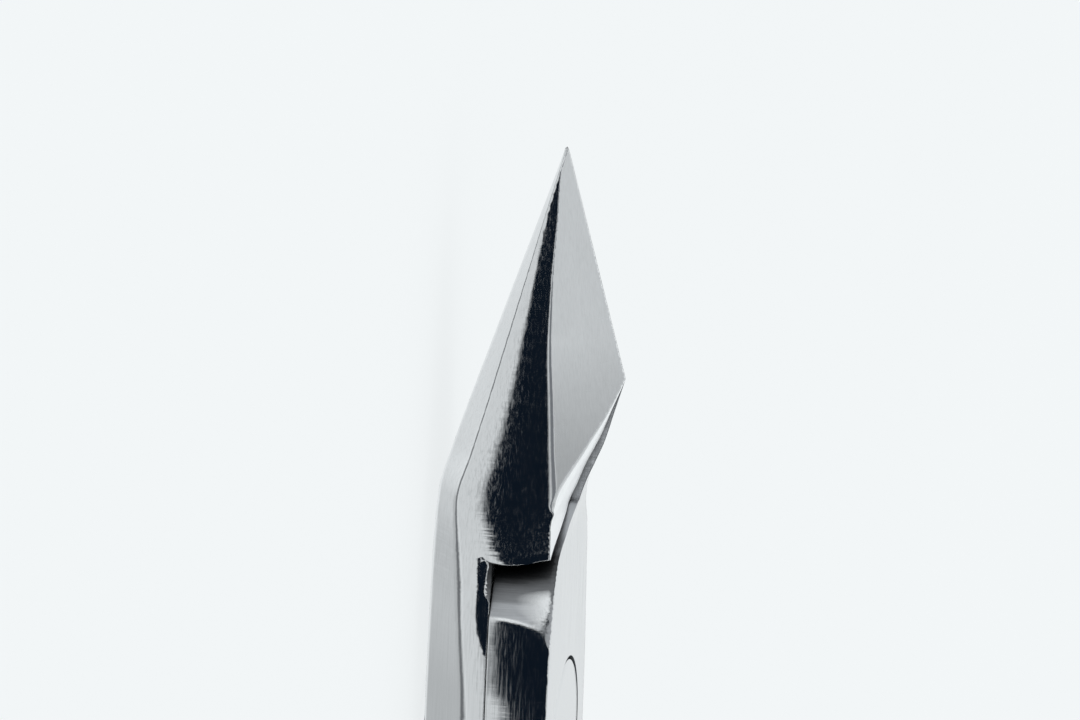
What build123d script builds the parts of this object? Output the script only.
from build123d import *
import math
import os

# Cuticle nipper with a lap joint and two leaf springs, jaws closed. All dimensions in millimetres.
# Finished frame: the tool lies on its flat back face. +Z is the pivot axis, out of the front plate,
# -Y runs from the handles to the tip, X is the direction in which the handles open. The origin is
# on the pivot axis, on the back face.
# Everything is modelled standing: Z to the tip, Y to the front from the lap plane, X as above.
# The parting plane between the jaws is x = 0. lay_down() brings a piece into the finished frame.

# ---- thickness and gaps ----
FRONT_Y = 2.50                      # front face of the front plate
BACK_Y = -2.75                      # back face of the back plate
THICKNESS = FRONT_Y - BACK_Y
MID_Y = (FRONT_Y + BACK_Y) / 2
LAP_GAP = 0.02                      # each plate stands this far off the lap plane
PART_GAP = 0.01                     # each jaw stands this far off the parting plane
REACH = 9.0                         # cutting shapes reach this far, past the faces of the head

# ---- jaws ----
TIP_Y, TIP_Z = 1.79, 25.43          # point of the jaws
HEEL_Y, HEEL_Z = 4.48, 15.78        # heel of the cutting edge
FACET_ANGLE = 45.0                  # ground facet against the parting plane, degrees
FACET_END_Z = 9.6                   # the facet ends here, where the side turns into the joint
REAR_JAW_STEP = 0.35                # the rear half's jaw front lies this much behind the other
STEP_RUN = 2.0                      # length below the heel over which that step grows
SECTION_FRONT_Y = 7.0               # the loft sections run up to here, before the front is cut

# Half outline of the closed head, seen from the front: (z, widest x)
SIDE = [
    (27.0, 0.03), (25.43, 0.16), (24.38, 0.52), (22.43, 1.15), (20.0, 1.86), (17.3, 2.52),
    (15.3, 2.98), (13.3, 3.46), (11.35, 3.98), (9.4, 4.42), (8.0, 4.70), (6.5, 4.93),
    (5.0, 5.08), (3.0, 5.18), (0.0, 5.22), (-3.0, 5.18), (-6.0, 5.04), (-9.0, 4.90),
    (-11.0, 4.92),
]

# Section corners of the head, from tip to shank: (z, back y, width of the flat back,
# x and y where the back bevel meets the side, x and y of the side's front corner)
HEAD = [
    (27.00, 2.29, 0.01, 0.02, 2.32, 0.03, 2.40),
    (25.43, 1.78, 0.08, 0.14, 1.80, 0.16, 1.85),
    (24.38, 1.45, 0.28, 0.48, 1.56, 0.50, 1.60),
    (22.43, 0.83, 0.66, 1.10, 1.08, 1.06, 1.52),
    (20.00, 0.05, 1.12, 1.84, 0.50, 1.72, 1.54),
    (17.30, -0.81, 1.58, 2.50, -0.14, 2.36, 1.69),
    (15.30, -1.45, 1.90, 2.95, -0.62, 2.76, 1.84),
    (13.30, -2.06, 2.28, 3.43, -1.13, 3.12, 2.05),
    (11.35, -2.56, 2.66, 3.93, -1.62, 3.44, 2.32),
    (9.40, -2.66, 2.92, 4.38, -1.44, 3.88, 2.32),
    (8.00, -2.69, 3.02, 4.66, -1.31, 4.34, 2.34),
    (6.50, -2.71, 3.12, 4.89, -1.15, 4.70, 2.36),
    (5.00, -2.73, 3.20, 5.04, -1.00, 4.92, 2.38),
    (3.00, -2.74, 3.28, 5.14, -0.82, 5.08, 2.40),
    (0.00, -2.75, 3.34, 5.18, -0.72, 5.16, 2.42),
    (-4.00, -2.75, 3.34, 5.10, -0.72, 5.08, 2.42),
    (-7.50, -2.75, 3.36, 4.92, -0.86, 4.92, 2.20),
    (-11.00, -2.75, 3.40, 4.88, -1.20, 4.88, 1.60),
]
FRONT_CUT_END_Z = -12.0             # below the last section

# Front face from the heel down to the flat plate, on the parting plane: (y, z)
FRONT_PROFILE = [
    (HEEL_Y, HEEL_Z), (4.10, 14.45), (3.73, 13.10), (3.38, 12.20), (3.04, 11.36),
    (2.76, 10.45), (2.58, 9.70), (FRONT_Y, 8.80),
]

# ---- lap joint ----
# Dome of a plate on the side of the other half's jaw: (x, z).
# The same curve turned half a turn shapes the lower end of the plate.
DOME = [
    (0.0, 10.50), (0.84, 9.95), (1.68, 9.45), (2.40, 9.18), (3.07, 8.86), (3.51, 8.53),
    (3.95, 8.09), (4.39, 7.50), (4.64, 7.05), (4.89, 6.45), (5.05, 5.70), (5.16, 4.60),
    (5.20, 2.60),
]
# Underside of a jaw above that dome: (x, z). Turned half a turn, it is the top of a shank.
UNDER = [
    (0.0, 10.62), (0.90, 10.16), (1.80, 9.86), (2.80, 9.62), (3.60, 9.42), (4.40, 9.16),
    (5.60, 8.80),
]
DOME_END_Z = DOME[-1][1]
UNDER_END_Z = UNDER[-1][1]
HEAD_CLEAR_Z = 30.0                 # cutting shapes of the head end this far up or down
SHANK_CLEAR_Z = -100.0              # cutting shapes of shank and handle end this far down
SHANK_BOTTOM_Z = -10.9
SHANK_HEIGHT = 4.0
WEB_WIDTH = 0.4                     # web across the slit between the two sides of a plate
WEB_HEIGHT = 17.0

# ---- pivot rivet ----
PIVOT_HEAD_R = 3.50                 # flush rivet head
PIVOT_HEAD_T = 0.90
PIVOT_SHANK_R = 2.00
PIVOT_CLEAR = 0.03                  # radial running clearance in the front plate
PIVOT_HEAD_GAP = 0.02               # axial clearance under the front head

# ---- handles ----
HANDLE_TOP_Z = -8.0
HANDLE_CUT_Z = -9.2                 # the handle is trimmed here, inside the shank
HANDLE_END_Z = -87.0
HANDLE_END_SHIFT = 0.25             # the end's low point lies this far inside its middle
HANDLE_FILLET = 0.95
HANDLE_END_R = 2.90                 # the handle ends are domed across the thickness
HANDLE_END_SWEEP = 65.0             # half angle of the dome arc, degrees
HANDLE_END_STEPS = 32
# Outer and inner outline: (z, x)
HANDLE_OUTER = [
    (HANDLE_TOP_Z, 4.95), (-11.0, 4.92), (-14.0, 5.20), (-18.0, 6.10), (-24.0, 7.90),
    (-32.0, 10.10), (-42.0, 11.90), (-52.0, 12.75), (-62.0, 12.75), (-72.0, 11.95),
    (-80.0, 10.75), (-85.5, 9.60),
]
HANDLE_INNER = [
    (HANDLE_TOP_Z, 0.80), (-11.0, 0.86), (-14.0, 1.15), (-18.0, 2.05), (-24.0, 3.85),
    (-32.0, 6.05), (-42.0, 7.85), (-52.0, 8.70), (-62.0, 8.70), (-72.0, 7.95),
    (-80.0, 6.90), (-85.5, 6.00),
]

# ---- leaf springs and their screws ----
LEAF_T = 0.60
LEAF_W = 3.40
LEAF_BACK_Y = MID_Y - LEAF_W / 2
LEAF_ROOT_Z = -53.0                 # upper end of the clamped pad, where the leaf starts to bend
LEAF_PAD_END_Z = -60.5
LEAF_TIP_Z = -24.5
LEAF_CROSS_Z = -27.0                # where the tongue passes through the slot
SEAT_X = 8.90                       # flat seat milled in the handle's inner face under the pad
SEAT_DEPTH = 3.0
SEAT_SIDE_GAP = 0.15
SEAT_END_GAP = 0.2
SEAT_EXTRA = 5.0                    # the seat is this much longer than the pad
SEAT_GAP = 0.01
PAD_X = SEAT_X - SEAT_GAP           # outer face of the pad, against the seat
PAD_INNER_X = PAD_X - LEAF_T        # inner face of the pad, under the screw head
# Outer face of the leaf from pad to tip: (x, z)
LEAF_LINE = [
    (PAD_X, LEAF_ROOT_Z), (PAD_X - 0.55, -49.5), (7.05, -45.0), (5.05, -39.5), (2.85, -33.5),
    (1.10, -28.9), (0.42, LEAF_CROSS_Z), (-0.10, LEAF_TIP_Z),
]
LEAF_TIP_TANGENT = (-0.12, 0, 1)
LEAF_STEPS = 60                     # steps along the outer face when offsetting the inner one
LEAF_CUT_X = 6.0                    # width of the end cuts, centred on x = 0
SLOT_WIDTH, SLOT_LENGTH = 1.50, 5.4
SLOT_BELOW_TIP = 6.2                # lower end of the slot, below LEAF_TIP_Z
TONGUE_HALF_WIDTH = 0.60
TONGUE_LENGTH = 6.0                 # root of the tongue, below LEAF_TIP_Z
TONGUE_TRIM = 1.15                  # the tongue stops this far below LEAF_TIP_Z

SCREW_Z = -57.0
SCREW_R = 0.90
SCREW_END_X = SEAT_X + 2.4
SCREW_HOLE_END_X = SEAT_X + 2.5
SCREW_HEAD_R = 1.60
SCREW_HEAD_T = 0.70
SCREW_HEAD_FILLET = 0.3
SCREW_SLOT_WIDTH = 0.45
SCREW_SLOT_DEPTH = 0.35


# ---- helpers ----
def prism_xz(points, y0, y1):
    """Closed (x, z) polygon extruded along Y from y0 to y1."""
    wire = Wire.make_polygon([Vector(x, y0, z) for x, z in points], close=True)
    return Solid.extrude(Face(wire), Vector(0, y1 - y0, 0))


def prism_yz(points, x0, x1):
    """Closed (y, z) polygon extruded along X from x0 to x1."""
    wire = Wire.make_polygon([Vector(x0, y, z) for y, z in points], close=True)
    return Solid.extrude(Face(wire), Vector(x1 - x0, 0, 0))


def pivot_cylinder(radius, y0, y1):
    return Solid.make_cylinder(radius, y1 - y0, Plane(origin=(0, y0, 0), z_dir=(0, 1, 0)))


def screw_cylinder(radius, x0, x1):
    plane = Plane(origin=(x0, MID_Y, SCREW_Z), z_dir=(1, 0, 0))
    return Solid.make_cylinder(radius, x1 - x0, plane)


def box(size, corner):
    """Box from its corner at least x, y and z."""
    return Solid.make_box(*size, Plane(origin=corner))


def flip(shape):
    return shape.mirror(Plane.YZ)


def upside_down(points):
    return [(x, -z) for x, z in points]


# ---- head ----
def side_x(z):
    """Widest x of the head at height z."""
    for (z1, x1), (z0, x0) in zip(SIDE, SIDE[1:]):
        if z0 <= z <= z1:
            return x0 + (x1 - x0) * (z - z0) / (z1 - z0)


def head_section(z, back_y, flat_x, bevel_x, bevel_y, front_x, front_y):
    mid_x, mid_y = side_x(z), 0.5 * (bevel_y + front_y)
    slope = (front_x - mid_x) / (front_y - mid_y)
    far_x = max(mid_x + slope * (SECTION_FRONT_Y - mid_y), 0.02)
    points = [(PART_GAP, back_y), (PART_GAP + flat_x, back_y), (bevel_x, bevel_y),
              (mid_x, mid_y), (front_x, front_y), (far_x, SECTION_FRONT_Y),
              (PART_GAP, SECTION_FRONT_Y)]
    return Wire.make_polygon([Vector(x, y, z) for x, y in points], close=True)


def head_envelope(front_step):
    """+X side of the closed head, down to the shank; its front lies front_step lower."""
    body = Solid.make_loft([head_section(*row) for row in HEAD], ruled=True)

    # front face: flat on the plate, sweeping up to the heel, then along the cutting edge
    edge_y, edge_z = TIP_Y - HEEL_Y, TIP_Z - HEEL_Z
    top_y, top_z = TIP_Y + edge_y * 0.5, TIP_Z + edge_z * 0.5
    profile = [(top_y, top_z)]
    profile += [(y - front_step * min(1.0, (HEEL_Z - z) / STEP_RUN), z)
                for y, z in FRONT_PROFILE]
    profile += [(FRONT_Y - front_step, FRONT_CUT_END_Z), (REACH, FRONT_CUT_END_Z),
                (REACH, top_z)]
    body = body - prism_yz(profile, -1, 8)

    # ground facet: plane through the cutting edge, leaning away from the parting plane
    length = math.hypot(edge_y, edge_z)
    along = Vector(0, edge_y / length, edge_z / length)
    lean = math.tan(math.radians(FACET_ANGLE))
    normal = Vector(1, lean * edge_z / length, -lean * edge_y / length).normalized()
    facet = Plane(origin=(PART_GAP, HEEL_Y, HEEL_Z), x_dir=along, z_dir=normal)
    corner = facet.from_local_coords((-30, -30, 0))
    block = Solid.make_box(60, 60, 12, Plane(origin=corner, x_dir=facet.x_dir, z_dir=facet.z_dir))
    return body - (block & box((20, 20, 30), (-1, -8, FACET_END_Z)))


# ---- handle ----
def outline(points):
    return Edge.make_spline([Vector(x, BACK_Y, z) for z, x in points])


def handle():
    """The +X handle: extruded through the thickness, long edges rounded, end domed."""
    outer = outline(HANDLE_OUTER)
    inner = outline(list(reversed(HANDLE_INNER)))
    outer_end, inner_end = outer @ 1, inner @ 0
    low_point = Vector((outer_end.X + inner_end.X) / 2 - HANDLE_END_SHIFT, BACK_Y, HANDLE_END_Z)
    end = Edge.make_three_point_arc(outer_end, low_point, inner_end)
    top = Edge.make_line(inner @ 1, outer @ 0)
    body = Solid.extrude(Face(Wire([outer, end, inner, top])), Vector(0, THICKNESS, 0))

    rims = []
    for edge in body.edges():
        middle = edge @ 0.5
        on_face = min(abs(middle.Y - BACK_Y), abs(middle.Y - FRONT_Y)) < 0.01
        if on_face and abs(middle.Z - HANDLE_TOP_Z) >= 0.01:
            rims.append(edge)
    # outer and end edges first, the long inner edges last
    rims.sort(key=lambda edge: edge.length > 20 and (edge @ 0.5).X <= 9.9)
    body = body.fillet(HANDLE_FILLET, rims)

    low_y, high_y, dome_z = MID_Y - 4, MID_Y + 4, HANDLE_END_Z + 3
    dome = [(low_y, -5.0), (high_y, -5.0), (high_y, dome_z)]
    for k in range(HANDLE_END_STEPS + 1):
        angle = math.radians(HANDLE_END_SWEEP * (1 - 2 * k / HANDLE_END_STEPS))
        dome.append((MID_Y + HANDLE_END_R * math.sin(angle),
                     HANDLE_END_Z + HANDLE_END_R - HANDLE_END_R * math.cos(angle)))
    dome.append((low_y, dome_z))
    body = body & prism_yz(dome, -1, 30)

    # clear of the other half's plate
    below_plate = [(-1, HANDLE_TOP_Z)] + upside_down(UNDER)[1:]
    below_plate += [(30.0, -UNDER_END_Z), (30.0, SHANK_CLEAR_Z), (-1.0, SHANK_CLEAR_Z)]
    body = body & box((60, 30, 100), (-1, -15, HANDLE_CUT_Z - 100))
    return body & prism_xz(below_plate, -REACH, REACH)


# ---- halves ----
# Regions seen from the front, on the +X side: (x, z)
ABOVE_DOME = UNDER + [(REACH, UNDER_END_Z), (REACH, HEAD_CLEAR_Z), (0.0, HEAD_CLEAR_Z)]
BELOW_DOME = DOME + [(REACH, DOME_END_Z), (REACH, -HEAD_CLEAR_Z), (0.0, -HEAD_CLEAR_Z)]
ABOVE_LOWER_DOME = upside_down(BELOW_DOME)
SHANK_REGION = upside_down(UNDER) + [(REACH, -UNDER_END_Z), (REACH, SHANK_CLEAR_Z),
                                     (0.0, SHANK_CLEAR_Z)]


def half(jaw_envelope, plain_envelope, plate_front):
    """A half with its jaw on +X and its handle on -X, its plate before or behind the lap plane."""
    y0, y1 = (LAP_GAP, REACH) if plate_front else (-REACH, -LAP_GAP)
    jaw = jaw_envelope & prism_xz(ABOVE_DOME, -REACH, REACH)
    jaw_side = jaw_envelope & prism_xz(ABOVE_LOWER_DOME, y0, y1)
    handle_side = flip(plain_envelope) & flip(prism_xz(BELOW_DOME, y0, y1))
    shank = flip(plain_envelope) & flip(prism_xz(SHANK_REGION, -REACH, REACH))
    shank = shank & box((40, 20, SHANK_HEIGHT), (-20, -10, SHANK_BOTTOM_Z))
    body = jaw.fuse(jaw_side).fuse(handle_side).fuse(shank).fuse(flip(handle()))

    # close the slit left between the two sides of the plate
    y0, y1 = (LAP_GAP, FRONT_Y) if plate_front else (BACK_Y, -LAP_GAP)
    return body.fuse(box((WEB_WIDTH, y1 - y0, WEB_HEIGHT), (-WEB_WIDTH / 2, y0, -WEB_HEIGHT / 2)))


def spring_seat():
    """Flat seat for the pad of the leaf on the +X handle."""
    size = (SEAT_DEPTH, LEAF_W + 2 * SEAT_SIDE_GAP, LEAF_ROOT_Z - LEAF_PAD_END_Z + SEAT_EXTRA)
    return box(size, (SEAT_X - SEAT_DEPTH, LEAF_BACK_Y - SEAT_SIDE_GAP,
                      LEAF_PAD_END_Z - SEAT_END_GAP))


def screw_hole():
    return screw_cylinder(SCREW_R, SEAT_X - 1, SCREW_HOLE_END_X)


def front_half(front_envelope):
    """Handle on +X; turns on the rivet."""
    body = flip(half(front_envelope, front_envelope, True))
    head_floor_y = FRONT_Y - PIVOT_HEAD_T - PIVOT_HEAD_GAP
    body = body - pivot_cylinder(PIVOT_HEAD_R + PIVOT_CLEAR, head_floor_y, FRONT_Y + 1)
    body = body - pivot_cylinder(PIVOT_SHANK_R + PIVOT_CLEAR, -1, FRONT_Y)
    return body - spring_seat() - screw_hole()


def rear_half(front_envelope):
    """Handle on -X; holds the rivet fixed."""
    body = half(head_envelope(REAR_JAW_STEP), front_envelope, False)
    body = body - pivot_cylinder(PIVOT_HEAD_R, BACK_Y - 1, BACK_Y + PIVOT_HEAD_T)
    body = body - pivot_cylinder(PIVOT_SHANK_R, BACK_Y, 1)
    return body - flip(spring_seat()) - flip(screw_hole())


def pivot_rivet():
    body = pivot_cylinder(PIVOT_SHANK_R, BACK_Y, FRONT_Y)
    body = body.fuse(pivot_cylinder(PIVOT_HEAD_R, FRONT_Y - PIVOT_HEAD_T, FRONT_Y))
    return body.fuse(pivot_cylinder(PIVOT_HEAD_R, BACK_Y, BACK_Y + PIVOT_HEAD_T))


# ---- springs ----
def leaf(slotted):
    """Leaf on the +X handle: flat pad, then a bow to the middle, ending in a slot or a tongue."""
    outer = Edge.make_spline([Vector(x, LEAF_BACK_Y, z) for x, z in LEAF_LINE],
                             tangents=[Vector(0, 0, 1), Vector(*LEAF_TIP_TANGENT)])
    inner_points = []
    for k in range(LEAF_STEPS + 1):
        point, tangent = outer @ (k / LEAF_STEPS), outer % (k / LEAF_STEPS)
        inner_points.append(Vector(point.X - tangent.Z * LEAF_T, LEAF_BACK_Y,
                                   point.Z + tangent.X * LEAF_T))
    inner = Edge.make_spline(inner_points)
    pad_outer = Edge.make_line(Vector(PAD_X, LEAF_BACK_Y, LEAF_PAD_END_Z), outer @ 0)
    pad_inner = Edge.make_line(inner @ 0, Vector(PAD_INNER_X, LEAF_BACK_Y, LEAF_PAD_END_Z))
    pad_end = Edge.make_line(pad_inner @ 1, pad_outer @ 0)
    tip = Edge.make_line(outer @ 1, inner @ 1)
    body = Solid.extrude(Face(Wire([pad_outer, outer, tip, inner, pad_inner, pad_end])),
                         Vector(0, LEAF_W, 0))

    cut_x = -LEAF_CUT_X / 2
    if slotted:
        body = body - box((LEAF_CUT_X, SLOT_WIDTH, SLOT_LENGTH),
                          (cut_x, MID_Y - SLOT_WIDTH / 2, LEAF_TIP_Z - SLOT_BELOW_TIP))
    else:
        for y in (MID_Y - LEAF_W, MID_Y + TONGUE_HALF_WIDTH):
            body = body - box((LEAF_CUT_X, LEAF_W - TONGUE_HALF_WIDTH, 8.0),
                              (cut_x, y, LEAF_TIP_Z - TONGUE_LENGTH))
        body = body - box((LEAF_CUT_X, LEAF_W + 1, 4.0),
                          (cut_x, LEAF_BACK_Y - 0.5, LEAF_TIP_Z - TONGUE_TRIM))
    return body - screw_cylinder(SCREW_R, 0, 20)


def screw():
    """Low pan-head screw on +X: its head clamps the pad, its shank ends inside the handle."""
    top_x = PAD_INNER_X - SCREW_HEAD_T
    head = screw_cylinder(SCREW_HEAD_R, top_x, PAD_INNER_X)
    rim = [edge for edge in head.edges() if abs((edge @ 0.5).X - top_x) < 0.01]
    head = head.fillet(SCREW_HEAD_FILLET, rim)
    body = head.fuse(screw_cylinder(SCREW_R, PAD_INNER_X, SCREW_END_X))
    return body - box((SCREW_SLOT_DEPTH + 0.05, 4, SCREW_SLOT_WIDTH),
                      (top_x - 0.05, MID_Y - 2, SCREW_Z - SCREW_SLOT_WIDTH / 2))


# ---- export ----
def lay_down(solid):
    """From the standing frame to the finished one: back face to 0, then turned about X."""
    raised = solid.moved(Location((0, -BACK_Y, 0)))
    return raised.moved(Location((0, 0, 0), (90, 0, 0)))


plain_head = head_envelope(0.0)
parts = {
    "front_half": front_half(plain_head),
    "rear_half": rear_half(plain_head),
    "pivot_rivet": pivot_rivet(),
    "front_spring_leaf": leaf(slotted=False),
    "rear_spring_leaf": flip(leaf(slotted=True)),
    "front_spring_screw": screw(),
    "rear_spring_screw": flip(screw()),
}
os.makedirs("parts", exist_ok=True)
for name, shape in parts.items():
    largest = max(shape.solids(), key=lambda solid: solid.volume)
    export_step(lay_down(largest), f"parts/{name}.step")
